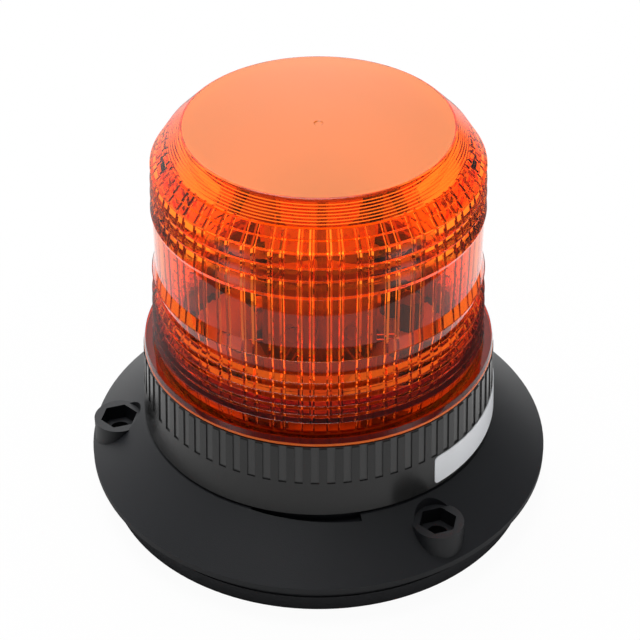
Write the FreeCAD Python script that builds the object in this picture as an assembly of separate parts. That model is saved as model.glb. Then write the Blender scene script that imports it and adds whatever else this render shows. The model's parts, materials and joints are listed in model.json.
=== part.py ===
import FreeCAD, Part
import math
import os

os.makedirs("parts", exist_ok=True)

# Frame: millimetres, +Z up the lens axis, origin at the middle of the gasket's underside.
# Azimuth is counted from -Y towards +X, and the first mounting boss stands at azimuth 0.

# Mounting: gasket, bolt circle and bosses
bolt_circle = 130.0
bolt_count = 3
bolt_hole_radius = 3.3
gasket_thickness = 5.0
gasket_outer_radius = 69.4
gasket_inner_radius = 56.0
boss_radius = 8.0
boss_top_drop = 3.9
nut_pocket_flats = 10.4
nut_pocket_depth = 5.2
nut_pocket_turn = 14.0
spot_face_radius = 7.2

# Base shell
skirt_radius = 69.0
skirt_height = 5.9
base_wall = 3.0
flange_radius = 74.0
flange_rim_height = 2.0
cone_top_radius = 57.0
cone_height = 13.3
floor_drop = 1.2
floor_thickness = 3.0
spigot_radius = 51.0
spigot_wall = 3.0
spigot_height = 19.8
rib_count = 12
rib_first_turn = 90.0
rib_thickness = 2.0
rib_reach = 16.0
rib_end_height = 4.0
relief_start = -55.0
relief_end = -21.0
relief_depth = 1.6
relief_drop = 2.2

# Cable grommet in the floor
cable_radius = 3.25
grommet_neck_radius = 6.0
grommet_lip = 2.2
grommet_lip_thickness = 1.8
grommet_tail_radius = 5.2
grommet_tail_length = 3.5
grommet_clearance = 0.1

# Grip collar
collar_height = 26.1
collar_bottom_radius = 56.5
collar_taper = 1.1
collar_bore_clearance = 1.6
collar_foot_chamfer = 0.8
collar_top_chamfer = 0.5
grip_groove_count = 72
grip_groove_share = 0.5
grip_groove_depth = 0.4
grip_band_height = 12.6

# Label on the collar's plain band
label_thickness = 0.25
label_margin_low = 2.0
label_margin_high = 0.4
label_start = 5.0
label_end = 61.0
label_corner = 1.5
label_glue_gap = 0.03

# Lens rim, skirt and seal
rim_radius = 55.2
rim_thickness = 3.2
rim_chamfer = 0.7
rim_taper = 0.5
skirt_clearance = 0.15
seal_height = 2.0
seal_width = 1.6
seal_proud = 1.0
seal_clearance = 0.15

# Lens rings: plain band at the focal height, Fresnel rings below and above it
band_radius = 50.1
band_height = 18.3
lower_edge_radius = 51.2
lower_edge_draft = 2.6
lower_ring_heights = (7.6, 4.5, 3.8, 3.1, 3.0)
lower_ring_depths = (1.7, 1.4, 1.2, 1.2, 1.2)
lower_foot_height = 3.6
band_riser_height = 4.2
ring_riser_slope = 1.3
upper_edge_radius = 50.6
upper_edge_draft = 2.6
upper_ring_depth = 0.9
upper_ring_heights = (5.4, 4.3, 5.0)
upper_lip_height = 1.3
upper_bulge_share = 0.04

# Lens shoulder and top
shoulder_steps = 2
shoulder_step_rise = 2.9
shoulder_step_run = 1.9
shoulder_lip_depth = 0.5
shoulder_lip_height = 0.9
bevel_height = 5.76
bevel_width = 5.68

# Lens inside: vertical flutes between thin ribs
lens_wall = 2.9
flute_pair_count = 36
narrow_flute_angle = 4.0
flute_phase = 1.8
flute_rib_width = 1.5
flute_rib_height = 0.4
flute_tip_share = 0.4
lens_top_wall = 3.0
fine_step_count = 8
fine_step_rise = 0.72
fine_tread_share = 0.8

# Heat sink tower and light boards
tower_flats = 32.0
tower_wall = 2.5
tower_foot_radius = 28.0
tower_foot_thickness = 2.5
tower_above_focus = 11.5
tower_screw_circle = 48.0
tower_screw_skin = 0.8
lead_slot_width = 8.0
lead_slot_height = 7.0
cap_thickness = 2.0
cap_plug_depth = 4.0
cap_clearance = 0.1
face_count = 6
light_board_width = 15.0
light_board_thickness = 1.6
light_board_end_gap = 2.0
light_board_lift = 2.0
emitter_width = 3.5
emitter_thickness = 1.4
emitter_column_pitch = 6.0
emitter_row_pitch = 7.0
emitter_columns = 2
emitter_rows = 3

# Driver board and what stands on it
board_thickness = 1.6
board_outer_radius = 45.5
board_inner_radius = 22.5
board_standoff = 19.4
post_radius = 3.5
post_circle = 76.0
post_azimuth = 30.0
screw_count = 3
screw_shank_radius = 1.25
screw_clearance = 0.1
screw_head_radius = 2.6
screw_head_height = 1.8
screw_length = 6.0
part_circle = 66.0
capacitor_radius = 4.0
capacitor_height = 11.0
capacitor_spread = 17.0
inductor_width = 10.0
inductor_height = 5.0
inductor_chamfer = 1.6
chip_length = 6.0
chip_width = 4.0
chip_height = 1.6
chip_leg_width = 0.6
chip_leg_reach = 1.1
chip_legs_per_side = 4
transistor_length = 6.5
transistor_width = 6.0
transistor_height = 2.3
transistor_tab = 1.6
transistor_spread = 15.0
terminal_length = 11.0
terminal_depth = 8.0
terminal_height = 9.0
terminal_pitch = 5.0
terminal_hole_radius = 1.5
terminal_screw_radius = 1.7
terminal_screw_depth = 2.5
terminal_screw_sink = 0.6
pin_width = 0.64
pin_pitch = 2.54
pin_rise = 2.5
pins_per_board = 2

# Azimuths of the parts on the driver board
capacitor_azimuth = 90.0
inductor_azimuth = 300.0
chip_azimuth = 240.0
transistor_azimuth = 0.0
terminal_azimuth = 180.0

# Heights that the pieces share
flange_bottom = gasket_thickness + skirt_height
cone_bottom = flange_bottom + flange_rim_height
ledge = cone_bottom + cone_height
boss_top = ledge - boss_top_drop
floor_top = ledge - floor_drop
floor_bottom = floor_top - floor_thickness
spigot_top = ledge + spigot_height
spigot_bore = spigot_radius - spigot_wall
collar_top = ledge + collar_height
grip_bottom = ledge + grip_band_height
collar_bore = spigot_radius + collar_bore_clearance
collar_top_radius = collar_bottom_radius - collar_taper
rim_top = collar_top + rim_thickness
skirt_bottom = spigot_top + seal_proud
ring_zone_bottom = rim_top + lower_foot_height
band_bottom = ring_zone_bottom + sum(lower_ring_heights) + band_riser_height
focal_height = band_bottom + band_height / 2
band_top = band_bottom + band_height
shoulder_bottom = band_top + sum(upper_ring_heights)
board_bottom = floor_top + board_standoff
board_top = board_bottom + board_thickness
tower_top = focal_height + tower_above_focus
foot_top = floor_top + tower_foot_thickness
tower_face = tower_flats / 2
light_board_face = tower_face + light_board_thickness
light_board_bottom = board_top + light_board_lift
light_board_top = tower_top - light_board_end_gap

origin = FreeCAD.Vector(0, 0, 0)
up = FreeCAD.Vector(0, 0, 1)


def save(shape, name):
    shape.exportStep("parts/" + name + ".step")


def at(radius, azimuth, height):
    angle = math.radians(azimuth)
    return FreeCAD.Vector(radius * math.sin(angle), -radius * math.cos(angle), height)


def turned(shape, azimuth):
    copy = shape.copy()
    copy.rotate(origin, up, azimuth)
    return copy


def around(shape, count, first=0.0):
    return [turned(shape, first + index * 360.0 / count) for index in range(count)]


def rod(radius, bottom, top, place=None):
    foot = place or origin
    return Part.makeCylinder(radius, top - bottom, FreeCAD.Vector(foot.x, foot.y, bottom))


def ring(inner, outer, bottom, top):
    return rod(outer, bottom, top).cut(rod(inner, bottom, top))


def block(width, near, far, bottom, top, shift=0.0):
    # A box on the -Y side: width along X, from the near to the far distance from the axis
    corner = FreeCAD.Vector(shift - width / 2, -far, bottom)
    return Part.makeBox(width, far - near, top - bottom, corner)


def side_rod(radius, near, far, height, shift=0.0):
    # A rod that points out along -Y
    start = FreeCAD.Vector(shift, -near, height)
    return Part.makeCylinder(radius, far - near, start, FreeCAD.Vector(0, -1, 0))


def section(points):
    # A closed outline of straight lines in the plane of the axis
    corners = [FreeCAD.Vector(radius, 0, height) for radius, height in points]
    return Part.makePolygon(corners + corners[:1])


def spun(points):
    return Part.Face(section(points)).revolve(origin, up, 360)


def hexagon_prism(flats, bottom, top, place=origin, turn=0.0):
    # Turn 0 puts a flat on the -Y side
    corner_radius = flats / 2 / math.cos(math.radians(30))
    corners = [at(corner_radius, turn + 30 + 60 * index, bottom) for index in range(6)]
    corners = [corner + FreeCAD.Vector(place.x, place.y, 0) for corner in corners]
    face = Part.Face(Part.makePolygon(corners + corners[:1]))
    return face.extrude(FreeCAD.Vector(0, 0, top - bottom))


def screw(place, seat, length):
    # A pan-head screw that points down from its seat
    head = rod(screw_head_radius, seat, seat + screw_head_height, place)
    shank = rod(screw_shank_radius, seat - length, seat, place)
    return head.fuse(shank).removeSplitter()


# Gasket: a die-cut foam ring with a hole at each bolt
bolt_places = [at(bolt_circle / 2, 360.0 * index / bolt_count, 0) for index in range(bolt_count)]
bolt_holes = [rod(bolt_hole_radius, 0, ledge, place) for place in bolt_places]
gasket = ring(gasket_inner_radius, gasket_outer_radius, 0, gasket_thickness).cut(bolt_holes)
save(gasket, "base_gasket")

# Base: a hollow cone on a skirt, with a floor and a spigot for the head
cone_slope = cone_height / (flange_radius - cone_top_radius)
wall_drop = base_wall * math.hypot(1, cone_slope)
skirt_bore = skirt_radius - base_wall
roof_low = cone_bottom + (flange_radius - skirt_bore) * cone_slope - wall_drop
roof_start = flange_radius - (floor_bottom + wall_drop - cone_bottom) / cone_slope
base = spun([
    (skirt_bore, gasket_thickness),
    (skirt_radius, gasket_thickness),
    (skirt_radius, flange_bottom),
    (flange_radius, flange_bottom),
    (flange_radius, cone_bottom),
    (cone_top_radius, ledge),
    (spigot_radius, ledge),
    (spigot_radius, spigot_top),
    (spigot_bore, spigot_top),
    (spigot_bore, floor_top),
    (grommet_neck_radius, floor_top),
    (grommet_neck_radius, floor_bottom),
    (roof_start, floor_bottom),
    (skirt_bore, roof_low),
])

# Ribs under the cone
rib_inner = skirt_bore - rib_reach
rib_face = Part.Face(section([
    (rib_inner, floor_bottom + floor_thickness / 2),
    (roof_start, floor_bottom + floor_thickness / 2),
    (skirt_radius - base_wall / 2, roof_low + wall_drop / 2),
    (skirt_radius - base_wall / 2, gasket_thickness + rib_end_height),
    (rib_inner, floor_bottom - rib_end_height),
]))
rib = rib_face.extrude(FreeCAD.Vector(0, rib_thickness, 0))
rib.translate(FreeCAD.Vector(0, -rib_thickness / 2, 0))

# Bosses: round columns, kept within the skirt below the flange
column = rod(boss_radius, gasket_thickness, boss_top, at(bolt_circle / 2, 0, 0))
overhang = ring(skirt_radius, 2 * skirt_radius, gasket_thickness, flange_bottom)
column = column.cut(overhang)

# Posts for the driver board
screw_turns = [360.0 * index / screw_count for index in range(screw_count)]
post_places = [at(post_circle / 2, post_azimuth + turn, 0) for turn in screw_turns]
posts = [rod(post_radius, floor_top, board_bottom, place) for place in post_places]
base = base.fuse(around(rib, rib_count, rib_first_turn) + around(column, bolt_count) + posts)

# Cuts: bolt holes, nut pockets, spot faces, post holes and the holes for the tower's screws
tower_screw_places = [at(tower_screw_circle / 2, turn, 0) for turn in screw_turns]
cuts = list(bolt_holes)
for index, place in enumerate(bolt_places):
    turn = 360.0 * index / bolt_count + nut_pocket_turn - 30
    cuts.append(hexagon_prism(nut_pocket_flats, boss_top - nut_pocket_depth, boss_top, place, turn))
    cuts.append(rod(spot_face_radius, boss_top, spigot_top, place))
tapped_radius = screw_shank_radius + screw_clearance
cuts += [rod(tapped_radius, floor_top, board_bottom, place) for place in post_places]
tower_screw_end = floor_bottom + tower_screw_skin
cuts += [rod(tapped_radius, tower_screw_end, floor_top, place) for place in tower_screw_places]

# Relief in the cone's lip: it deepens along the lip and ends in a step
relief_inner = cone_top_radius - relief_depth
relief_middle = (relief_start + relief_end) / 2
relief_floor = ledge - relief_drop
outer_points = [
    at(cone_top_radius, relief_start, relief_floor),
    at(cone_top_radius + relief_depth / 2, relief_middle, relief_floor),
    at(cone_top_radius + relief_depth, relief_end, relief_floor),
]
inner_points = [at(relief_inner, angle, relief_floor) for angle in (relief_end, relief_middle, relief_start)]
relief_edges = [
    Part.Arc(*outer_points).toShape(),
    Part.LineSegment(outer_points[2], inner_points[0]).toShape(),
    Part.Arc(*inner_points).toShape(),
    Part.LineSegment(inner_points[2], outer_points[0]).toShape(),
]
relief = Part.Face(Part.Wire(relief_edges)).extrude(FreeCAD.Vector(0, 0, relief_drop))
cuts.append(relief)
base = base.cut(cuts).removeSplitter()
save(base, "mounting_base")

# Cable grommet: a rubber bush that grips the edge of the floor's hole
lip_radius = grommet_neck_radius + grommet_lip
neck_radius = grommet_neck_radius - grommet_clearance
grommet_top = floor_top + grommet_lip_thickness
grommet_under = floor_bottom - grommet_lip_thickness
grommet_end = grommet_under - grommet_tail_length
grommet = spun([
    (cable_radius, grommet_end),
    (grommet_tail_radius, grommet_end),
    (lip_radius, grommet_under),
    (lip_radius, floor_bottom),
    (neck_radius, floor_bottom),
    (neck_radius, floor_top),
    (lip_radius, floor_top),
    (lip_radius, grommet_top),
    (cable_radius, grommet_top),
])
save(grommet, "cable_grommet")

# Grip collar: a tapered ring with a plain band and grip grooves above it
taper_bottom = ledge + collar_foot_chamfer
taper_top = collar_top - collar_top_chamfer


def collar_radius(height):
    return collar_bottom_radius - collar_taper * (height - taper_bottom) / (taper_top - taper_bottom)


collar = spun([
    (collar_bore, ledge),
    (collar_bottom_radius - collar_foot_chamfer, ledge),
    (collar_bottom_radius, taper_bottom),
    (collar_top_radius, taper_top),
    (collar_top_radius - collar_top_chamfer, collar_top),
    (collar_bore, collar_top),
])
grip_radius = collar_radius(grip_bottom)
groove_width = grip_groove_share * 2 * math.pi * grip_radius / grip_groove_count
groove_face = Part.Face(section([
    (grip_radius - grip_groove_depth, grip_bottom),
    (2 * grip_radius, grip_bottom),
    (2 * grip_radius, collar_top),
    (collar_radius(collar_top) - grip_groove_depth, collar_top),
]))
groove = groove_face.extrude(FreeCAD.Vector(0, groove_width, 0))
groove.translate(FreeCAD.Vector(0, -groove_width / 2, 0))
collar = collar.cut(around(groove, grip_groove_count))
save(collar, "grip_collar")

# Label: a thin curved plate that follows the collar's taper
label_low = ledge + label_margin_low
label_high = grip_bottom - label_margin_high
label_faces = []
for height in (label_low, label_high):
    inner = collar_radius(height) + label_glue_gap
    label_faces.append((inner, inner + label_thickness, height))
low_inner, low_outer, low = label_faces[0]
high_inner, high_outer, high = label_faces[1]
label_section = section([(low_inner, low), (low_outer, low), (high_outer, high), (high_inner, high)])
label = Part.Face(label_section).revolve(origin, up, label_end - label_start)
label.rotate(origin, up, label_start - 90)
corner_edges = [edge for edge in label.Edges if edge.Length < 2 * label_thickness]
label = label.makeFillet(label_corner, corner_edges)
save(label, "label")

# Lens outside, from the skirt up: rim, lower rings, plain band, upper rings, stepped shoulder and bevel
skirt_outer = collar_bore - skirt_clearance
lower_draft = math.tan(math.radians(lower_edge_draft))
upper_draft = math.tan(math.radians(upper_edge_draft))
first_edge = band_bottom - band_riser_height


def lower_edge(height):
    return lower_edge_radius + (first_edge - height) * lower_draft


def upper_edge(height):
    return upper_edge_radius - (height - band_top) * upper_draft


def bulged(start, end):
    # An arc between two points of the outline, bulged outwards by a share of its length
    along = end - start
    outwards = FreeCAD.Vector(along.z, 0, -along.x)
    return Part.Arc(start, (start + end) * 0.5 + outwards * upper_bulge_share, end).toShape()


outside = [
    (0, skirt_bottom),
    (skirt_outer, skirt_bottom),
    (skirt_outer, collar_top),
    (rim_radius - rim_chamfer, collar_top),
    (rim_radius, collar_top + rim_chamfer),
    (rim_radius - rim_taper, rim_top),
    (lower_edge(rim_top) - lower_ring_depths[-1], rim_top),
]
edge_height = ring_zone_bottom
for ring_height, ring_depth in reversed(list(zip(lower_ring_heights, lower_ring_depths))):
    root_height = edge_height + ring_riser_slope * ring_depth
    outside.append((lower_edge(edge_height), edge_height))
    outside.append((lower_edge(root_height) - ring_depth, root_height))
    edge_height += ring_height
outside.append((lower_edge_radius, first_edge))
outside.append((band_radius, band_bottom))
outside.append((band_radius, band_top - upper_lip_height))
edge_height = band_top
bulged_faces = []
for ring_height in upper_ring_heights:
    bulged_faces.append(len(outside))
    outside.append((upper_edge(edge_height), edge_height))
    edge_height += ring_height
    outside.append((upper_edge(edge_height) - upper_ring_depth, edge_height - upper_lip_height))
step_radius = upper_edge(edge_height)
for index in range(shoulder_steps):
    outside.append((step_radius, edge_height))
    step_radius -= shoulder_step_run
    edge_height += shoulder_step_rise
    outside.append((step_radius - shoulder_lip_depth, edge_height - shoulder_lip_height))
outside.append((step_radius, edge_height))
edge_height += bevel_height
step_radius -= bevel_width
outside.append((step_radius, edge_height))
outside.append((0, edge_height))
corners = [FreeCAD.Vector(radius, 0, height) for radius, height in outside]
lens_edges = []
for index, corner in enumerate(corners):
    following = corners[(index + 1) % len(corners)]
    if index in bulged_faces:
        lens_edges.append(bulged(corner, following))
    else:
        lens_edges.append(Part.LineSegment(corner, following).toShape())
lens = Part.Face(Part.Wire(lens_edges)).revolve(origin, up, 360)

# Lens inside: a fluted bore that narrows under the shoulder, and fine steps under the bevel
flute_radius = band_radius - lens_wall
pair_angle = 360.0 / flute_pair_count
half_root = math.degrees(flute_rib_width / 2 / flute_radius)
half_tip = half_root * flute_tip_share
rib_tip = flute_radius - flute_rib_height
rib_profile = [
    (-half_root, flute_radius),
    (-half_tip, rib_tip),
    (half_tip, rib_tip),
    (half_root, flute_radius),
]


def flute_outline(height, share):
    points = []
    for index in range(flute_pair_count):
        middle = flute_phase + index * pair_angle
        for rib_angle in (middle - narrow_flute_angle / 2, middle + narrow_flute_angle / 2):
            points += [at(share * radius, rib_angle + turn, height) for turn, radius in rib_profile]
    return Part.makePolygon(points + points[:1])


ceiling = edge_height - lens_top_wall
ceiling_radius = step_radius - lens_wall * (band_radius - step_radius) / (edge_height - shoulder_bottom)
narrowing_start = shoulder_bottom - lens_wall
straight_bore = Part.Face(flute_outline(skirt_bottom, 1.0))
straight_bore = straight_bore.extrude(FreeCAD.Vector(0, 0, narrowing_start - skirt_bottom))
fine_step_run = fine_step_rise * (flute_radius - ceiling_radius) / (ceiling - narrowing_start)
flute_end = ceiling - fine_step_count * fine_step_rise
flute_end_share = (ceiling_radius + fine_step_count * fine_step_run) / flute_radius
bore_ends = [flute_outline(narrowing_start, 1.0), flute_outline(flute_end, flute_end_share)]
narrow_bore = Part.makeLoft(bore_ends, True, True)
step_outline = [(0, ceiling)]
for index in range(fine_step_count):
    inner_radius = ceiling_radius + index * fine_step_run
    outer_radius = inner_radius + (1 - fine_tread_share) * fine_step_run
    step_outline.append((inner_radius, ceiling - index * fine_step_rise))
    step_outline.append((outer_radius, ceiling - (index + 1) * fine_step_rise))
step_outline.append((outer_radius, narrowing_start))
step_outline.append((0, narrowing_start))
stepped_bore = spun(step_outline)
seal_middle = spigot_radius - spigot_wall / 2
seal_top = spigot_top + seal_height
seal_groove = ring(
    seal_middle - seal_width / 2 - seal_clearance,
    seal_middle + seal_width / 2 + seal_clearance,
    skirt_bottom,
    seal_top,
)
lens = lens.cut([straight_bore, narrow_bore, stepped_bore, seal_groove])
save(lens, "lens")

# Head seal: a flat rubber ring between the lens skirt and the spigot
save(ring(seal_middle - seal_width / 2, seal_middle + seal_width / 2, spigot_top, seal_top), "head_seal")

# Heat sink tower: a hexagonal tube on a round foot, with a slot for the supply leads
tower = hexagon_prism(tower_flats, floor_top, tower_top)
tower = tower.fuse(rod(tower_foot_radius, floor_top, foot_top))
tower_bore = tower_flats - 2 * tower_wall
lead_slot = block(lead_slot_width, 0, tower_flats, foot_top, foot_top + lead_slot_height)
tower_cuts = [hexagon_prism(tower_bore, floor_top, tower_top), turned(lead_slot, terminal_azimuth)]
hole_radius = screw_shank_radius + screw_clearance
tower_cuts += [rod(hole_radius, floor_top, foot_top, place) for place in tower_screw_places]
light_screw_height = (light_board_bottom + focal_height - emitter_rows * emitter_row_pitch / 2) / 2
light_screw_hole = side_rod(hole_radius, tower_face - tower_wall, light_board_face, light_screw_height)
tower_cuts += around(light_screw_hole, face_count)
save(tower.cut(tower_cuts).removeSplitter(), "heat_sink_tower")

# Tower cap: a plate with a plug in the tube's open top
cap = hexagon_prism(tower_flats, tower_top, tower_top + cap_thickness)
plug = hexagon_prism(tower_bore - 2 * cap_clearance, tower_top - cap_plug_depth, tower_top)
save(cap.fuse(plug).removeSplitter(), "tower_cap")

# Tower screws, down through the foot into the floor
tower_screw_length = foot_top - tower_screw_end - screw_clearance
tower_screws = [screw(place, foot_top, tower_screw_length) for place in tower_screw_places]
save(Part.makeCompound(tower_screws), "tower_screws")

# Light boards with their emitters, one on each face of the tower
light_board = block(light_board_width, tower_face, light_board_face, light_board_bottom, light_board_top)
light_board = light_board.cut(light_screw_hole)
emitters = []
for column in range(emitter_columns):
    shift = (column - (emitter_columns - 1) / 2) * emitter_column_pitch
    for row in range(emitter_rows):
        middle = focal_height + (row - (emitter_rows - 1) / 2) * emitter_row_pitch
        low = middle - emitter_width / 2
        far = light_board_face + emitter_thickness
        emitters.append(block(emitter_width, light_board_face, far, low, low + emitter_width, shift))
for index in range(face_count):
    azimuth = index * 360.0 / face_count
    number = str(index + 1)
    save(turned(light_board, azimuth), "light_board_" + number)
    save(turned(Part.makeCompound(emitters), azimuth), "led_emitters_" + number)

# Light board screws, in through each board into the tower's wall
light_screw_end = tower_face - tower_wall + screw_clearance
light_screw = side_rod(screw_shank_radius, light_screw_end, light_board_face, light_screw_height)
light_screw_top = light_board_face + screw_head_height
light_screw_head = side_rod(screw_head_radius, light_board_face, light_screw_top, light_screw_height)
light_screw = light_screw.fuse(light_screw_head).removeSplitter()
save(Part.makeCompound(around(light_screw, face_count)), "light_board_screws")

# Driver board: a round board that passes over the tower and rests on the posts
board = ring(board_inner_radius, board_outer_radius, board_bottom, board_top)
board = board.cut([rod(hole_radius, board_bottom, board_top, place) for place in post_places])
save(board, "driver_board")
board_screws = [screw(place, board_top, screw_length) for place in post_places]
save(Part.makeCompound(board_screws), "board_screws")

# Capacitors, inductor, chip and transistors on the driver board
part_radius = part_circle / 2
capacitor_top = board_top + capacitor_height
capacitor = rod(capacitor_radius, board_top, capacitor_top, at(part_radius, 0, 0))
capacitor_turns = (capacitor_azimuth - capacitor_spread / 2, capacitor_azimuth + capacitor_spread / 2)
save(Part.makeCompound([turned(capacitor, angle) for angle in capacitor_turns]), "supply_capacitors")

near = part_radius - inductor_width / 2
inductor = block(inductor_width, near, near + inductor_width, board_top, board_top + inductor_height)
upright = [edge for edge in inductor.Edges if abs(edge.tangentAt(edge.FirstParameter).z) > 0.5]
inductor = inductor.makeChamfer(inductor_chamfer, upright)
save(turned(inductor, inductor_azimuth), "power_inductor")

near = part_radius - chip_width / 2
far = near + chip_width
chip = block(chip_length, near, far, board_top, board_top + chip_height)
leg_pitch = chip_length / chip_legs_per_side
chip_legs = []
for index in range(chip_legs_per_side):
    shift = (index - (chip_legs_per_side - 1) / 2) * leg_pitch
    leg_top = board_top + chip_height / 2
    legs = block(chip_leg_width, near - chip_leg_reach, far + chip_leg_reach, board_top, leg_top, shift)
    chip_legs.append(legs)
chip = chip.fuse(chip_legs).removeSplitter()
save(turned(chip, chip_azimuth), "control_chip")

near = part_radius - transistor_width / 2
far = near + transistor_width
transistor = block(transistor_length, near, far, board_top, board_top + transistor_height)
tab = block(transistor_length, far, far + transistor_tab, board_top, board_top + transistor_height / 2)
transistor = transistor.fuse(tab).removeSplitter()
transistor_turns = [transistor_azimuth + transistor_spread * step for step in (-0.5, 0.5)]
save(Part.makeCompound([turned(transistor, angle) for angle in transistor_turns]), "driver_transistors")

# Terminal block with a wire hole and a clamp screw for each pole
near = part_radius - terminal_depth / 2
terminal_top = board_top + terminal_height
terminal = block(terminal_length, near, near + terminal_depth, board_top, terminal_top)
terminal_cuts = []
terminal_screws = []
for side in (-0.5, 0.5):
    shift = side * terminal_pitch
    hole_height = board_top + terminal_height / 3
    terminal_cuts.append(side_rod(terminal_hole_radius, near, near + terminal_depth / 2, hole_height, shift))
    place = FreeCAD.Vector(shift, -part_radius, 0)
    screw_bottom = terminal_top - terminal_screw_depth
    well_radius = terminal_screw_radius + screw_clearance
    terminal_cuts.append(rod(well_radius, screw_bottom, terminal_top, place))
    clamp_top = terminal_top - terminal_screw_sink
    terminal_screws.append(rod(terminal_screw_radius, screw_bottom, clamp_top, place))
save(turned(terminal.cut(terminal_cuts), terminal_azimuth), "terminal_block")
save(turned(Part.makeCompound(terminal_screws), terminal_azimuth), "terminal_screws")

# Link pins: bent pins from each light board down to the driver board
pin_height = light_board_bottom + pin_rise
pin_far = board_inner_radius + pin_rise
pins = []
for index in range(pins_per_board):
    shift = (index - (pins_per_board - 1) / 2) * pin_pitch
    arm = block(pin_width, light_board_face, pin_far, pin_height, pin_height + pin_width, shift)
    leg = block(pin_width, pin_far - pin_width, pin_far, board_top, pin_height, shift)
    pins.append(arm.fuse(leg).removeSplitter())
link_pins = [turned(pin, 360.0 * index / face_count) for index in range(face_count) for pin in pins]
save(Part.makeCompound(link_pins), "link_pins")
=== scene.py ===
import json
import math

import bmesh
import bpy
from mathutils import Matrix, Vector


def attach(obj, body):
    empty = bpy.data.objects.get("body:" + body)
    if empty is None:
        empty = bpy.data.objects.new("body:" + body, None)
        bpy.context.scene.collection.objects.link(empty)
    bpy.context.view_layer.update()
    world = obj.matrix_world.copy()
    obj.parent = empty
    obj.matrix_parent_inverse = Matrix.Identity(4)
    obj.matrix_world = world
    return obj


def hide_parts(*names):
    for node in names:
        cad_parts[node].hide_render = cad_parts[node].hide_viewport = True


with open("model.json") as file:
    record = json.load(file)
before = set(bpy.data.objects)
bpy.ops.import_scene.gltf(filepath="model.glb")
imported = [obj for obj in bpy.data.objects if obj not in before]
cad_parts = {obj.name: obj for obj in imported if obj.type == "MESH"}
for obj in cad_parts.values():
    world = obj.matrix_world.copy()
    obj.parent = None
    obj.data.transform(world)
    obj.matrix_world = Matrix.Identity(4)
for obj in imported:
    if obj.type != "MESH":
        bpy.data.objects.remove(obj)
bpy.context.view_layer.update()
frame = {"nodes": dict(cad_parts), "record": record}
nodes = frame["nodes"]
MM = 0.001

# Camera, fitted to the photograph's ellipses
CAMERA_AZIMUTH = -33.92
CAMERA_ELEVATION = 36.834
CAMERA_DISTANCE = 578.84 * MM
CAMERA_TARGET_HEIGHT = 57.97 * MM
CAMERA_SENSOR = 36.0
CAMERA_LENS = 103.165
CAMERA_SHIFT = 0.0024
CAMERA_CLIP = (0.01, 20.0)

# Floor: a round table just below the part
FLOOR_RADIUS = 180.0 * MM
FLOOR_GAP = 0.1 * MM
FLOOR_CORNERS = 128
FLOOR_GREY = 0.9
FLOOR_ROUGH = 0.9
# Share of plain white in it, and the shares of its radius between which that share rises
FLOOR_WHITE = (0.96, 1.0)
FLOOR_WHITE_REACH = (0.5, 1.0)
# Brightness in reflections and through the lens under the part and beyond it, and where it changes:
# a painted shadow under the part
FLOOR_UNDER_SHADE = (0.35, 1.0)
FLOOR_UNDER_SHADE_REACH = (0.45, 0.55)
# Painted light in reflections: brightness from the back of the table to its front
FLOOR_GLOSS = (1.12, 0.62)
FLOOR_GLOSS_REACH = 0.7

# Light: azimuth from the camera, elevation, sharpness and strength of each soft light
ROOM_LIGHTS = (
    (200.0, 25.0, 3.0, 1.2),
    (220.0, 80.0, 40.0, 13.5),
    (180.0, 24.0, 300.0, 2.0),
    (54.0, -12.0, 60.0, 1.3),
    (-54.0, -12.0, 60.0, 1.3),
)
ROOM_LEVEL = 0.12
# A fill from the right and the pale table below, for matt surfaces
SIDE_FILL = (78.0, -4.0, 16.0, 3.0)
TABLE_LEVEL = 0.8
# The least light that shows through the lens, and the most through it and in reflections
THROUGH_LEAST = 1.8
BENT_MOST = 4.0
# The white backdrop in reflections: where it is, and the cosines between which it fades in
BACKDROP = (180.0, 10.0, 1.0, 1.0)
BACKDROP_EDGE = (0.72, 0.92)
BOUNCES = 32
GLOSSY_BOUNCES = 24

# Lens outline in millimetres: as in the solids, with flatter ring risers and finer edges
BAND_RADIUS = 50.1
RIM_RADIUS = 55.2
SKIRT_RADIUS = 52.45
SKIRT_BOTTOM = 47.0
COLLAR_TOP = 52.3
RIM_TOP = 55.5
RIM_CHAMFER = 0.7
RIM_TAPER = 0.5
RIM_EDGE = 1.4
FOOT_HEIGHT = 3.6
LOWER_RINGS = (7.6, 4.5, 3.8, 3.1, 3.0)
LOWER_DEPTHS = (1.7, 1.4, 1.2, 1.2, 1.2)
LOWER_EDGE_RADIUS = 51.2
LOWER_DRAFT = math.tan(math.radians(2.6))
EDGE_LAND = (0.2, 0.07)
RISER_SLOPE = 0.95
BAND_RISER = 4.2
BAND_HEIGHT = 18.3
UPPER_RINGS = (5.4, 4.3, 5.0)
UPPER_DEPTH = 0.9
UPPER_EDGE_RADIUS = 50.6
UPPER_DRAFT = math.tan(math.radians(2.6))
UPPER_LIP = 1.3
UPPER_BULGE = 0.04
SHOULDER_STEPS = 2
SHOULDER_RISE = 2.9
SHOULDER_RUN = 1.9
SHOULDER_LIP_DEPTH = 0.5
SHOULDER_LIP_HEIGHT = 0.9
BEVEL_HEIGHT = 5.76
BEVEL_WIDTH = 5.68
TOP_EDGE = 0.25
TOP_EDGE_DROP = 0.7 * TOP_EDGE
TOP_RINGS = 6
GATE_MARK = ((1.5, 0.0), (1.1, 0.25))
LENS_WALL = 2.9
TOP_WALL = 3.0
SLEEVE_TOP = 53.0
SEAL_GROOVE = (48.55, 50.45, 48.0)
FIRST_EDGE = RIM_TOP + FOOT_HEIGHT + sum(LOWER_RINGS)
BAND_TOP = FIRST_EDGE + BAND_RISER + BAND_HEIGHT
SHOULDER_BOTTOM = BAND_TOP + sum(UPPER_RINGS)

# How finely the outline is cut, and how its corners are rounded
ARC_POINTS = 6
EDGE_ROUND = 0.12
ROUND_SHARE = 0.35
ROUND_POINTS = 3
ROUND_ANGLE = math.radians(6)
LENS_SHARP = math.radians(25)
NEAR = 0.01
BEVEL_MARGIN = 0.1

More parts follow.
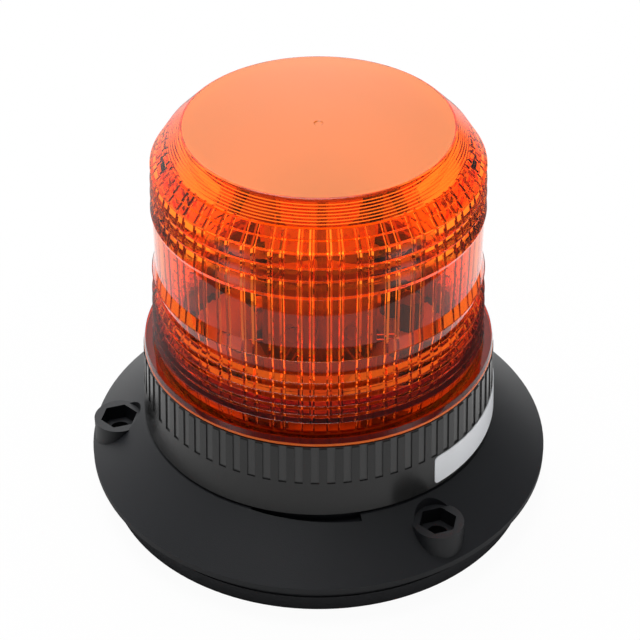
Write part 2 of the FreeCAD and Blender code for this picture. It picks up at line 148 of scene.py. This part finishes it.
# Flutes inside the lens, with ribs that are lower below the plain band
FLUTE_PAIRS = 36
NARROW_FLUTE = 4.0
FLUTE_PHASE = 1.8
FLUTE_RIB_WIDTH = 1.5
FLUTE_RIB_HEIGHT = 0.7
LOW_RIB_HEIGHT = 0.4
RIB_CHANGE = 2.0
RIB_TIP_SHARE = 0.3
WINDOW_PARTS = 3
FINE_STEPS = 8
FINE_RISE = 0.72
FINE_TREAD = 0.8

# Thread on the base's spigot
SPIGOT_RADIUS = 51.0
THREAD_SINK = 0.1
THREAD_LEAD = 12.0
THREAD_STARTS = 4
THREAD_STEPS = 72
THREAD_RUN_OUT = 6
THREAD_BOTTOM = 28.4
THREAD_TOP = 44.0
THREAD_SECTION = ((0.0, -0.9), (1.3, -0.35), (1.3, 0.35), (0.0, 0.9))
THREAD_SHARP = math.radians(30)

# Smooth shading of the round plastic pieces
ROUND_NODES = ("mounting_base", "grip_collar", "base_gasket")
WELD_REACH = 0.002 * MM
SPLIT_ANGLE = math.radians(25)

# Materials of the lens, in the order of its slots
# Slots: the skirt, the inside of the foot and the rim's underside are opaque dark red, painted
# shade; the rim's edge is a painted highlight; the lower rings and the bevel take a darker copy of
# the amber, painted shade; the inside takes a paler copy, partly the lens colour and partly painted
# light
CLEAR, FROSTED, EDGE_HIGHLIGHT, WELD, SHADED_COPY, LIT_COPY, UNDERSIDE = range(7)
LENS_IOR = 1.5
CLEAR_GREEN = 0.17
# Green shares of a darker copy of the amber on the lower rings and the bevel, painted shade, and of
# a paler copy inside, partly the lens colour and partly painted light
SHADED_GREEN = 0.13
LIT_GREEN = 0.35
BLUE_SHARE = 0.06

# Moulded finishes: darkest and lightest colour, roughness, strength and fineness of the grain
# Opaque dark red on the skirt and on the inside below the sleeve top: painted shade, a dark sheet
# for the dark foot of the lens
SKIRT_SHADE_LOOK = ((0.22, 0.03, 0.008), (0.28, 0.04, 0.01), 0.5, 0.1, 1500.0)
# Opaque dark red under the rim: painted shade, a dark sheet for the shaded collar seen through the
# rim
RIM_SHADE_LOOK = ((0.18, 0.022, 0.005), (0.22, 0.028, 0.006), 0.5, 0.1, 1500.0)
MOULDED = {
    "base_plastic": ((0.0085, 0.0095, 0.012), (0.012, 0.0135, 0.017), 0.46, 0.35, 2600.0),
    "gasket_foam": ((0.02, 0.021, 0.024), (0.03, 0.031, 0.035), 0.85, 0.9, 1400.0),
    "rubber_black": ((0.01, 0.01, 0.01), (0.014, 0.014, 0.014), 0.7, 0.3, 1500.0),
    "label_film": ((0.86, 0.88, 0.91), (0.9, 0.92, 0.95), 0.3, 0.05, 1500.0),
    "cap_plastic": ((0.74, 0.74, 0.72), (0.8, 0.8, 0.78), 0.4, 0.1, 1500.0),
    "component_black": ((0.01, 0.01, 0.01), (0.015, 0.015, 0.015), 0.5, 0.2, 2500.0),
    "capacitor_sleeve": ((0.01, 0.015, 0.05), (0.012, 0.02, 0.07), 0.25, 0.05, 900.0),
    "terminal_plastic": ((0.01, 0.12, 0.04), (0.015, 0.15, 0.05), 0.4, 0.1, 1500.0),
    "emitter_resin": ((0.8, 0.5, 0.05), (0.9, 0.6, 0.08), 0.3, 0.05, 900.0),
}
SLOW_SCALE = 35.0
SLOW_DETAIL = 3.0
GLOSS_CHANGE = 0.04
GRAIN_DETAIL = 3.0
GRAIN_ROUGHNESS = 0.6
GRAIN_DEPTH = 0.1 * MM

# Metal finishes: colour and roughness
METALS = {
    "tower_aluminium": ((0.6, 0.6, 0.6), 0.5),
    "screw_steel": ((0.62, 0.62, 0.64), 0.3),
    "pin_metal": ((0.75, 0.6, 0.35), 0.3),
}
METAL_SCALE = 300.0
METAL_SHADE = 0.8
METAL_GLOSS_CHANGE = 0.06

# Collar: its outside, and the depths between which a surface is the floor of a grip strip
COLLAR_RADIUS = 56.5
COLLAR_TAPER = 1.1
COLLAR_BOTTOM = 26.2
COLLAR_SHADE = (0.019, 0.023)
COLLAR_ROUGH = (0.2, 0.28)
COLLAR_GRAIN = (3000.0, 0.15)
STRIP_DEPTHS = (0.25, 0.5)
# How much lighter the strips' floors are painted: a painted sheen
STRIP_PAINTED_SHEEN = 2.4
STRIP_GLOSS = 0.04

# Boards: height of the light boards' white print, and radii between which the driver board's sets in
BOARD_ROUGH = 0.4
LIGHT_PRINT = (82.0, 82.3)
LIGHT_LEVELS = (0.24, 0.8)
DRIVER_PRINT = (17.0, 39.0)
DRIVER_LEVELS = (0.01, 0.75)


def direction(azimuth, elevation):
    a = math.radians(azimuth)
    e = math.radians(elevation)
    return Vector((math.sin(a) * math.cos(e), -math.cos(a) * math.cos(e), math.sin(e)))


def add_object(name, mesh, sharp_angle):
    # Turns a finished bmesh into a smooth object with its sharp edges kept
    bmesh.ops.recalc_face_normals(mesh, faces=mesh.faces)
    data = bpy.data.meshes.new(name)
    mesh.to_mesh(data)
    mesh.free()
    data.shade_smooth()
    data.set_sharp_from_angle(angle=sharp_angle)
    thing = bpy.data.objects.new(name, data)
    bpy.context.collection.objects.link(thing)
    return thing


# Small helpers for materials
def new_material(name):
    material = bpy.data.materials.new(name)
    material.use_nodes = True
    shader = material.node_tree.nodes["Principled BSDF"]
    return material, material.node_tree, shader


def set_values(shader, **values):
    for name, value in values.items():
        shader.inputs[name.replace("_", " ")].default_value = value


def maths(tree, operation, first, second):
    node = tree.nodes.new("ShaderNodeMath")
    node.operation = operation
    for socket, value in zip(node.inputs, (first, second)):
        if isinstance(value, (int, float)):
            socket.default_value = value
        else:
            tree.links.new(value, socket)
    return node.outputs["Value"]


def vector_maths(tree, operation, first, second=None):
    node = tree.nodes.new("ShaderNodeVectorMath")
    node.operation = operation
    tree.links.new(first, node.inputs[0])
    if second is not None:
        node.inputs[1].default_value = second
    return node.outputs["Value"]


def blend(tree, share, first, second):
    kept = maths(tree, "MULTIPLY", first, maths(tree, "SUBTRACT", 1.0, share))
    return maths(tree, "ADD", kept, maths(tree, "MULTIPLY", second, share))


def smooth_range(tree, source, ends, levels):
    # Changes smoothly from one level to the other between two ends
    node = tree.nodes.new("ShaderNodeMapRange")
    node.interpolation_type = "SMOOTHSTEP"
    names = ("From Min", "From Max", "To Min", "To Max")
    for name, value in zip(names, (*ends, *levels)):
        node.inputs[name].default_value = value
    tree.links.new(source, node.inputs["Value"])
    return node.outputs["Result"]


def ramp(tree, source, low, high):
    node = tree.nodes.new("ShaderNodeMapRange")
    node.inputs["To Min"].default_value = low
    node.inputs["To Max"].default_value = high
    tree.links.new(source, node.inputs["Value"])
    return node.outputs["Result"]


def colour_ramp(tree, source, low, high):
    node = tree.nodes.new("ShaderNodeValToRGB")
    node.color_ramp.elements[0].color = (*low, 1)
    node.color_ramp.elements[1].color = (*high, 1)
    tree.links.new(source, node.inputs["Fac"])
    return node.outputs["Color"]


def coordinates(tree, kind="Object"):
    # The place on an object or in the sky, and its X, Y and Z
    place = tree.nodes.new("ShaderNodeTexCoord").outputs[kind]
    split = tree.nodes.new("ShaderNodeSeparateXYZ")
    tree.links.new(place, split.inputs["Vector"])
    return place, split.outputs


def axis_distance(tree, parts):
    # Distance from the part's upright axis
    flat = tree.nodes.new("ShaderNodeCombineXYZ")
    tree.links.new(parts["X"], flat.inputs["X"])
    tree.links.new(parts["Y"], flat.inputs["Y"])
    return vector_maths(tree, "LENGTH", flat.outputs["Vector"])


def noise(tree, scale, detail, roughness=0.5):
    place = tree.nodes.new("ShaderNodeTexCoord")
    texture = tree.nodes.new("ShaderNodeTexNoise")
    texture.inputs["Scale"].default_value = scale
    texture.inputs["Detail"].default_value = detail
    texture.inputs["Roughness"].default_value = roughness
    tree.links.new(place.outputs["Object"], texture.inputs["Vector"])
    return texture.outputs["Fac"]


def add_grain(tree, shader, scale, strength):
    node = tree.nodes.new("ShaderNodeBump")
    node.inputs["Strength"].default_value = strength
    node.inputs["Distance"].default_value = GRAIN_DEPTH
    height = noise(tree, scale, GRAIN_DETAIL, GRAIN_ROUGHNESS)
    tree.links.new(height, node.inputs["Height"])
    tree.links.new(node.outputs["Normal"], shader.inputs["Normal"])


# Finishes
def moulded_plastic(name, dark, light, rough, grain, grain_scale):
    # A moulded surface: fine grain, and slow changes of colour and gloss
    material, tree, shader = new_material(name)
    slow = noise(tree, SLOW_SCALE, SLOW_DETAIL)
    tree.links.new(colour_ramp(tree, slow, dark, light), shader.inputs["Base Color"])
    gloss = ramp(tree, slow, rough - GLOSS_CHANGE, rough + GLOSS_CHANGE)
    tree.links.new(gloss, shader.inputs["Roughness"])
    add_grain(tree, shader, grain_scale, grain)
    return material


def metal(name, colour, rough):
    material, tree, shader = new_material(name)
    set_values(shader, Metallic=1.0)
    slow = noise(tree, METAL_SCALE, SLOW_DETAIL)
    darker = tuple(METAL_SHADE * part for part in colour)
    tree.links.new(colour_ramp(tree, slow, darker, colour), shader.inputs["Base Color"])
    gloss = ramp(tree, slow, rough - METAL_GLOSS_CHANGE, rough + METAL_GLOSS_CHANGE)
    tree.links.new(gloss, shader.inputs["Roughness"])
    return material


def board_finish(name, place_of, ends, levels):
    # A circuit board that is dark at one end of a range and has white print at the other
    material, tree, shader = new_material(name)
    _, parts = coordinates(tree)
    ends = [end * MM for end in ends]
    shade = smooth_range(tree, place_of(tree, parts), ends, levels)
    tree.links.new(shade, shader.inputs["Base Color"])
    set_values(shader, Roughness=BOARD_ROUGH)
    return material


def collar_finish():
    # The sunk grip strips are glossier than the collar between them, and their colour is lifted: a
    # painted sheen
    material, tree, shader = new_material("collar_plastic")
    _, parts = coordinates(tree)
    taper = COLLAR_TAPER / (COLLAR_TOP - COLLAR_BOTTOM)
    lean = maths(tree, "MULTIPLY", parts["Z"], taper)
    surface = maths(tree, "SUBTRACT", (COLLAR_RADIUS + taper * COLLAR_BOTTOM) * MM, lean)
    depth = maths(tree, "SUBTRACT", surface, axis_distance(tree, parts))
    least, most = STRIP_DEPTHS
    sunk = maths(tree, "GREATER_THAN", depth, least * MM)
    strip = maths(tree, "MULTIPLY", sunk, maths(tree, "LESS_THAN", depth, most * MM))
    slow = noise(tree, SLOW_SCALE, SLOW_DETAIL)
    # Painted sheen: the strips' colour is lifted
    lift = blend(tree, strip, 1.0, STRIP_PAINTED_SHEEN)
    shade = maths(tree, "MULTIPLY", ramp(tree, slow, *COLLAR_SHADE), lift)
    tree.links.new(shade, shader.inputs["Base Color"])
    gloss = maths(tree, "MULTIPLY", strip, STRIP_GLOSS)
    rough = maths(tree, "SUBTRACT", ramp(tree, slow, *COLLAR_ROUGH), gloss)
    tree.links.new(rough, shader.inputs["Roughness"])
    add_grain(tree, shader, *COLLAR_GRAIN)
    return material


def clear_amber(name, green):
    # Amber moulding, tinted where light passes
    material, _, shader = new_material(name)
    set_values(shader, Base_Color=(1.0, green, BLUE_SHARE * green, 1))
    set_values(shader, Roughness=0.0, IOR=LENS_IOR, Transmission_Weight=1.0)
    return material


def edge_painted_highlight():
    # Outer edge of the rim: a bright orange, mostly opaque strip, a painted highlight along the
    # rim's edge
    material, tree, shader = new_material("edge_painted_highlight")
    slow = noise(tree, 60.0, 2.0)
    colour = colour_ramp(tree, slow, (1.0, 0.15, 0.006), (1.0, 0.2, 0.01))
    tree.links.new(colour, shader.inputs["Base Color"])
    set_values(shader, Roughness=0.25, IOR=LENS_IOR, Transmission_Weight=0.2)
    return material


def frosted_amber():
    # Top of the lens: glossy outside, frosted beneath, so that it glows with the light from above
    material, tree, shader = new_material("frosted_amber")
    slow = noise(tree, 25.0, 2.0)
    colour = colour_ramp(tree, slow, (0.97, 0.24, 0.012), (1.0, 0.28, 0.018))
    tree.links.new(colour, shader.inputs["Base Color"])
    set_values(shader, Roughness=0.5, IOR=LENS_IOR, Transmission_Weight=0.35)
    set_values(shader, Specular_IOR_Level=0.0, Coat_Weight=1.0, Coat_Roughness=0.03)
    return material


# Lens mesh
def rounded(points):
    # Rounds each sharp corner of an open outline with a short arc
    out = [Vector(points[0])]
    for before, corner, after in zip(points, points[1:], points[2:]):
        corner = Vector(corner)
        back = Vector(before) - corner
        ahead = Vector(after) - corner
        if math.pi - back.angle(ahead) < ROUND_ANGLE:
            out.append(corner)
            continue
        reach = min(EDGE_ROUND, ROUND_SHARE * back.length, ROUND_SHARE * ahead.length)
        start = corner + back.normalized() * reach
        end = corner + ahead.normalized() * reach
        for step in range(ROUND_POINTS + 1):
            t = step / ROUND_POINTS
            out.append(start * (1 - t) ** 2 + corner * 2 * t * (1 - t) + end * t ** 2)
    out.append(Vector(points[-1]))
    return out


def bulged(start, end):
    # Points between two ends of a ring's face, which bulges out by a share of its length
    start, end = Vector(start), Vector(end)
    along = end - start
    out_side = Vector((along.y, -along.x))
    shares = [step / ARC_POINTS for step in range(1, ARC_POINTS)]
    return [start + along * t + out_side * 4 * UPPER_BULGE * t * (1 - t) for t in shares]


def lower_edge(height):
    return LOWER_EDGE_RADIUS + (FIRST_EDGE - height) * LOWER_DRAFT


def upper_edge(height):
    return UPPER_EDGE_RADIUS - (height - BAND_TOP) * UPPER_DRAFT


def lens_outline():
    # Radius and height of each corner from the skirt up to the flat top
    edge_share = (RIM_EDGE - RIM_CHAMFER) / (RIM_TOP - COLLAR_TOP - RIM_CHAMFER)
    points = [
        (SKIRT_RADIUS, SKIRT_BOTTOM),
        (SKIRT_RADIUS, COLLAR_TOP),
        (RIM_RADIUS - RIM_CHAMFER, COLLAR_TOP),
        (RIM_RADIUS, COLLAR_TOP + RIM_CHAMFER),
        (RIM_RADIUS - RIM_TAPER * edge_share, COLLAR_TOP + RIM_EDGE),
        (RIM_RADIUS - RIM_TAPER, RIM_TOP),
        (lower_edge(RIM_TOP) - LOWER_DEPTHS[-1], RIM_TOP),
    ]
    height = RIM_TOP + FOOT_HEIGHT
    land_run, land_rise = EDGE_LAND
    for ring, depth in reversed(list(zip(LOWER_RINGS, LOWER_DEPTHS))):
        root = height + RISER_SLOPE * depth
        points.append((lower_edge(height), height))
        points.append((lower_edge(height) - land_run, height + land_rise))
        points.append((lower_edge(root) - depth, root))
        height += ring
    points.append((LOWER_EDGE_RADIUS, FIRST_EDGE))
    points.append((LOWER_EDGE_RADIUS - land_run, FIRST_EDGE + land_rise))
    points.append((BAND_RADIUS, FIRST_EDGE + BAND_RISER))
    height = BAND_TOP
    points.append((BAND_RADIUS, height - UPPER_LIP))
    for ring in UPPER_RINGS:
        points.append((upper_edge(height), height))
        height += ring
        root = (upper_edge(height) - UPPER_DEPTH, height - UPPER_LIP)
        points += bulged(points[-1], root)
        points.append(root)
    radius = upper_edge(height)
    for _ in range(SHOULDER_STEPS):
        points.append((radius, height))
        radius -= SHOULDER_RUN
        height += SHOULDER_RISE
        points.append((radius - SHOULDER_LIP_DEPTH, height - SHOULDER_LIP_HEIGHT))
    points.append((radius, height))
    height += BEVEL_HEIGHT
    radius -= BEVEL_WIDTH
    points.append((radius + TOP_EDGE_DROP, height - TOP_EDGE_DROP))
    points.append((radius - TOP_EDGE, height))
    points.append((radius - 2 * TOP_EDGE, height))
    return points, radius, height


def flute_angles():
    # Angles round the lens with, at each, how far the rib stands in: 0 at a window, 1 at a rib's tip
    root = math.degrees(FLUTE_RIB_WIDTH / 2 / (BAND_RADIUS - LENS_WALL))
    tip = root * RIB_TIP_SHARE
    pair = 360.0 / FLUTE_PAIRS
    out = []
    for index in range(FLUTE_PAIRS):
        middle = FLUTE_PHASE + index * pair
        first = middle - NARROW_FLUTE / 2
        ribs = (first, middle + NARROW_FLUTE / 2, first + pair)
        for rib, following in zip(ribs, ribs[1:]):
            out += [(rib - root, 0.0), (rib - tip, 1.0), (rib + tip, 1.0)]
            start, end = rib + root, following - root
            shares = [step / WINDOW_PARTS for step in range(WINDOW_PARTS)]
            out += [(start + (end - start) * share, 0.0) for share in shares]
    return out


class TurnedMesh:
    # Rows of points round the upright axis, and the faces between them
    def __init__(self, angles):
        self.mesh = bmesh.new()
        self.angles = angles

    def row(self, height, radius_at):
        # radius_at gives the radius for how far a rib stands in
        points = []
        for angle, stand in self.angles:
            radius = radius_at(stand)
            a = math.radians(angle)
            place = Vector((radius * math.sin(a), -radius * math.cos(a), height))
            points.append(self.mesh.verts.new(place * MM))
        return points

    def circle(self, height, radius):
        return self.row(height, lambda stand: radius)

    def face(self, corners, slot):
        self.mesh.faces.new(corners).material_index = slot

    def skin(self, lower, upper, slot=CLEAR):
        for index in range(len(lower)):
            following = (index + 1) % len(lower)
            corners = (lower[index], lower[following], upper[following], upper[index])
            self.face(corners, slot)

    def fan(self, row, height, upwards, slot):
        middle = self.mesh.verts.new((0, 0, height * MM))
        for index in range(len(row)):
            pair = (row[index], row[(index + 1) % len(row)])
            self.face((*pair, middle) if upwards else (*reversed(pair), middle), slot)


def outside_slot(start, end, top):
    # Material of the outside between two neighbouring points of the outline
    # The rim's underside: opaque dark red, painted shade
    if start.y > COLLAR_TOP - NEAR and end.y < COLLAR_TOP + NEAR:
        return UNDERSIDE
    # The skirt's outside: opaque dark red, painted shade
    if end.y < COLLAR_TOP + NEAR:
        return WELD
    # The rim's chamfer and lower outer face carry the painted highlight
    if end.y < COLLAR_TOP + RIM_EDGE + NEAR:
        return EDGE_HIGHLIGHT
    # The lower rings and the bevel: a darker copy of the amber, painted shade
    if end.y < FIRST_EDGE or start.y > top - BEVEL_HEIGHT - BEVEL_MARGIN:
        return SHADED_COPY
    return CLEAR


def lens_outside(turned, outline, top_radius, top):
    # From the skirt up to the flat top, with the gate mark in its middle
    points = rounded(outline)
    rows = [turned.circle(point.y, point.x) for point in points]
    for start, end, lower, upper in zip(points, points[1:], rows, rows[1:]):
        turned.skin(lower, upper, outside_slot(start, end, top))
    last = rows[-1]
    circles = [(top_radius * (1 - step / TOP_RINGS), 0.0) for step in range(1, TOP_RINGS)]
    for radius, depth in (*circles, *GATE_MARK):
        row = turned.circle(top - depth, radius)
        turned.skin(last, row, FROSTED)
        last = row
    turned.fan(last, top - GATE_MARK[-1][1], True, FROSTED)
    return rows[0]


def lens_inside(turned, top_radius, top):
    # From the ceiling down over the fine steps and the flutes to the skirt
    window = BAND_RADIUS - LENS_WALL
    cone_bottom = SHOULDER_BOTTOM - LENS_WALL
    ceiling = top - TOP_WALL
    lean = (BAND_RADIUS - top_radius) / (top - SHOULDER_BOTTOM)
    ceiling_radius = top_radius - LENS_WALL * lean
    slope = (window - ceiling_radius) / (ceiling - cone_bottom)

    def bore(height):
        share = 1 - slope * max(0.0, height - cone_bottom) / window
        high = height > FIRST_EDGE + RIB_CHANGE / 2
        rib = FLUTE_RIB_HEIGHT if high else LOW_RIB_HEIGHT
        return turned.row(height, lambda stand: share * (window - stand * rib))

    rows = []
    radius, height = ceiling_radius, ceiling
    for _ in range(FINE_STEPS):
        rows.append(turned.circle(height, radius))
        height -= FINE_RISE
        radius += (1 - FINE_TREAD) * slope * FINE_RISE
        rows.append(turned.circle(height, radius))
        radius += FINE_TREAD * slope * FINE_RISE
    # The inside: a paler copy of the amber, partly the lens colour and partly painted light
    turned.fan(rows[0], ceiling, False, LIT_COPY)
    rows += [bore(level) for level in (height, cone_bottom, FIRST_EDGE + RIB_CHANGE)]
    rows += [bore(level) for level in (FIRST_EDGE, SLEEVE_TOP, SKIRT_BOTTOM)]
    for upper, lower in zip(rows, rows[1:-1]):
        turned.skin(upper, lower, LIT_COPY)
    # The inside below the sleeve top: opaque dark red, painted shade
    turned.skin(rows[-2], rows[-1], WELD)
    return rows[-1]


def lens_underside(turned, inner, outer):
    # Underside of the skirt, with the seal's groove
    groove_in, groove_out, groove_top = SEAL_GROOVE
    levels = (SKIRT_BOTTOM, groove_top)
    rows = [turned.circle(level, groove_in) for level in levels]
    rows += [turned.circle(level, groove_out) for level in reversed(levels)]
    rows = [inner, *rows, outer]
    for first, second in zip(rows, rows[1:]):
        turned.skin(first, second)


def build_lens():
    outline, top_radius, top = lens_outline()
    turned = TurnedMesh(flute_angles())
    outer = lens_outside(turned, outline, top_radius, top)
    inner = lens_inside(turned, top_radius, top)
    lens_underside(turned, inner, outer)
    lens = add_object("lens_moulding", turned.mesh, LENS_SHARP)
    normals = lens.modifiers.new("normals", "WEIGHTED_NORMAL")
    normals.keep_sharp = True
    finishes = {
        CLEAR: clear_amber("clear_amber", CLEAR_GREEN),
        FROSTED: frosted_amber(),
        EDGE_HIGHLIGHT: edge_painted_highlight(),
        WELD: moulded_plastic("skirt_painted_shade", *SKIRT_SHADE_LOOK),
        SHADED_COPY: clear_amber("shaded_amber", SHADED_GREEN),
        LIT_COPY: clear_amber("lit_amber", LIT_GREEN),
        UNDERSIDE: moulded_plastic("rim_painted_shade", *RIM_SHADE_LOOK),
    }
    for slot in sorted(finishes):
        lens.data.materials.append(finishes[slot])
    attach(lens, "head")
    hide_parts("lens")


def dress_nodes():
    finishes = {slot: moulded_plastic(slot, *look) for slot, look in MOULDED.items()}
    for slot, look in METALS.items():
        finishes[slot] = metal(slot, *look)
    finishes["collar_plastic"] = collar_finish()
    light_board = board_finish(
        "light_board_mask", lambda tree, parts: parts["Z"], LIGHT_PRINT, LIGHT_LEVELS)
    driver_board = board_finish("driver_board_mask", axis_distance, DRIVER_PRINT, DRIVER_LEVELS)
    for part in frame["record"]["subparts"]:
        if part["node"] == "lens":
            continue
        if part["node"] == "driver_board":
            finish = driver_board
        elif part["material_slot"] == "black_laminate":
            finish = light_board
        else:
            finish = finishes[part["material_slot"]]
        node = nodes[part["node"]]
        node.data.materials.clear()
        node.data.materials.append(finish)
    for name in ROUND_NODES:
        node = nodes[name]
        weld = node.modifiers.new("weld", "WELD")
        weld.merge_threshold = WELD_REACH
        split = node.modifiers.new("split", "EDGE_SPLIT")
        split.split_angle = SPLIT_ANGLE
        split.use_edge_sharp = False
        node.modifiers.new("normals", "WEIGHTED_NORMAL")


def add_thread():
    # Four-start thread on the spigot, which shows when the head is unscrewed
    mesh = bmesh.new()
    turns = (THREAD_TOP - THREAD_BOTTOM) / THREAD_LEAD
    steps = round(turns * THREAD_STEPS)
    for start in range(THREAD_STARTS):
        last = None
        for step in range(steps + 1):
            a = math.tau * (start / THREAD_STARTS + step / THREAD_STEPS)
            middle = THREAD_BOTTOM + THREAD_LEAD * step / THREAD_STEPS
            grown = min(1.0, step / THREAD_RUN_OUT, (steps - step) / THREAD_RUN_OUT)
            row = []
            for stand, lift in THREAD_SECTION:
                radius = SPIGOT_RADIUS - THREAD_SINK + stand * grown
                place = Vector((radius * math.cos(a), radius * math.sin(a), middle + lift))
                row.append(mesh.verts.new(place * MM))
            if last:
                for first, second in zip(range(len(row)), range(1, len(row))):
                    mesh.faces.new((last[first], row[first], row[second], last[second]))
                mesh.faces.new((last[-1], row[-1], row[0], last[0]))
            else:
                mesh.faces.new(row)
            last = row
        mesh.faces.new(list(reversed(last)))
    thread = add_object("spigot_thread", mesh, THREAD_SHARP)
    thread.data.materials.append(nodes["mounting_base"].data.materials[0])
    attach(thread, "base")


def add_floor():
    # A round white table: its shadow stays near the object, and its edge fades into the background
    bpy.ops.mesh.primitive_circle_add(
        vertices=FLOOR_CORNERS, radius=FLOOR_RADIUS, fill_type="NGON")
    floor = bpy.context.object
    floor.name = "floor"
    floor.location.z = -FLOOR_GAP
    material, tree, shader = new_material("floor_white")
    grey = (FLOOR_GREY, FLOOR_GREY, FLOOR_GREY, 1)
    set_values(shader, Base_Color=grey, Roughness=FLOOR_ROUGH)
    place, _ = coordinates(tree)
    reach = vector_maths(tree, "LENGTH", place)
    path = tree.nodes.new("ShaderNodeLightPath").outputs
    bent = maths(tree, "MAXIMUM", path["Is Glossy Ray"], path["Is Transmission Ray"])
    seen = maths(tree, "MAXIMUM", path["Is Camera Ray"], bent)

    # How much of it is plain white, and how bright that is
    ends = [share * FLOOR_RADIUS for share in FLOOR_WHITE_REACH]
    white = maths(tree, "MULTIPLY", seen, smooth_range(tree, reach, ends, FLOOR_WHITE))
    # Painted shadow under the part in reflections and through the lens, and in reflections painted
    # light from the back of the table to its front
    ends = [share * FLOOR_RADIUS for share in FLOOR_UNDER_SHADE_REACH]
    painted_level = smooth_range(tree, reach, ends, FLOOR_UNDER_SHADE)
    ahead = vector_maths(tree, "DOT_PRODUCT", place, direction(CAMERA_AZIMUTH, 0.0))
    ends = (-FLOOR_GLOSS_REACH * FLOOR_RADIUS, FLOOR_GLOSS_REACH * FLOOR_RADIUS)
    gloss = smooth_range(tree, ahead, ends, FLOOR_GLOSS)
    painted_level = maths(tree, "MULTIPLY", painted_level, blend(tree, path["Is Glossy Ray"], 1.0, gloss))
    glow = tree.nodes.new("ShaderNodeEmission")
    tree.links.new(blend(tree, bent, 1.0, painted_level), glow.inputs["Strength"])

    mix = tree.nodes.new("ShaderNodeMixShader")
    tree.links.new(white, mix.inputs["Fac"])
    tree.links.new(shader.outputs["BSDF"], mix.inputs[1])
    tree.links.new(glow.outputs["Emission"], mix.inputs[2])
    tree.links.new(mix.outputs["Shader"], tree.nodes["Material Output"].inputs["Surface"])
    floor.data.materials.append(material)


def add_camera():
    data = bpy.data.cameras.new("camera")
    camera = bpy.data.objects.new("camera", data)
    bpy.context.collection.objects.link(camera)
    back = direction(CAMERA_AZIMUTH, CAMERA_ELEVATION)
    camera.location = Vector((0, 0, CAMERA_TARGET_HEIGHT)) + back * CAMERA_DISTANCE
    camera.rotation_euler = (-back).to_track_quat("-Z", "Y").to_euler()
    data.sensor_width = CAMERA_SENSOR
    data.lens = CAMERA_LENS
    data.shift_x = CAMERA_SHIFT
    data.clip_start, data.clip_end = CAMERA_CLIP
    bpy.context.scene.camera = camera


def add_light():
    # Soft light from behind, above and the sides, and a dim room on the camera's side
    scene = bpy.context.scene
    world = bpy.data.worlds.new("studio")
    world.use_nodes = True
    scene.world = world
    tree = world.node_tree
    place, parts = coordinates(tree, "Generated")
    path = tree.nodes.new("ShaderNodeLightPath").outputs

    def soft_light(azimuth, elevation, power, strength):
        aim = direction(CAMERA_AZIMUTH + azimuth, elevation)
        facing = maths(tree, "MAXIMUM", vector_maths(tree, "DOT_PRODUCT", place, aim), 0.0)
        return maths(tree, "MULTIPLY", maths(tree, "POWER", facing, power), strength)

    total = ROOM_LEVEL
    for light in ROOM_LIGHTS:
        total = maths(tree, "ADD", total, soft_light(*light))

    # Reflections also show the backdrop, and the lens shows a room that is nowhere dark
    behind = smooth_range(tree, soft_light(*BACKDROP), BACKDROP_EDGE, (0.0, 1.0))
    mirrored = maths(tree, "MINIMUM", maths(tree, "MAXIMUM", total, behind), BENT_MOST)
    through = maths(tree, "MINIMUM", maths(tree, "MAXIMUM", total, THROUGH_LEAST), BENT_MOST)
    total = blend(tree, path["Is Glossy Ray"], total, mirrored)
    total = blend(tree, path["Is Transmission Ray"], total, through)

    # Matt surfaces also get light from the table and from the right
    below = maths(tree, "LESS_THAN", parts["Z"], 0.0)
    matt = path["Is Diffuse Ray"]
    table = maths(tree, "MULTIPLY", maths(tree, "MULTIPLY", below, TABLE_LEVEL), matt)
    fill = maths(tree, "MULTIPLY", soft_light(*SIDE_FILL), matt)
    total = maths(tree, "ADD", maths(tree, "MAXIMUM", total, table), fill)

    # The camera sees plain white
    total = blend(tree, path["Is Camera Ray"], total, 1.0)
    sky = tree.nodes["Background"]
    tree.links.new(total, sky.inputs["Strength"])
    sky.inputs["Color"].default_value = (1, 1, 1, 1)
    scene.view_settings.view_transform = "Standard"
    scene.cycles.max_bounces = BOUNCES
    scene.cycles.glossy_bounces = GLOSSY_BOUNCES
    scene.cycles.transmission_bounces = BOUNCES


build_lens()
dress_nodes()
add_thread()
add_floor()
add_camera()
add_light()
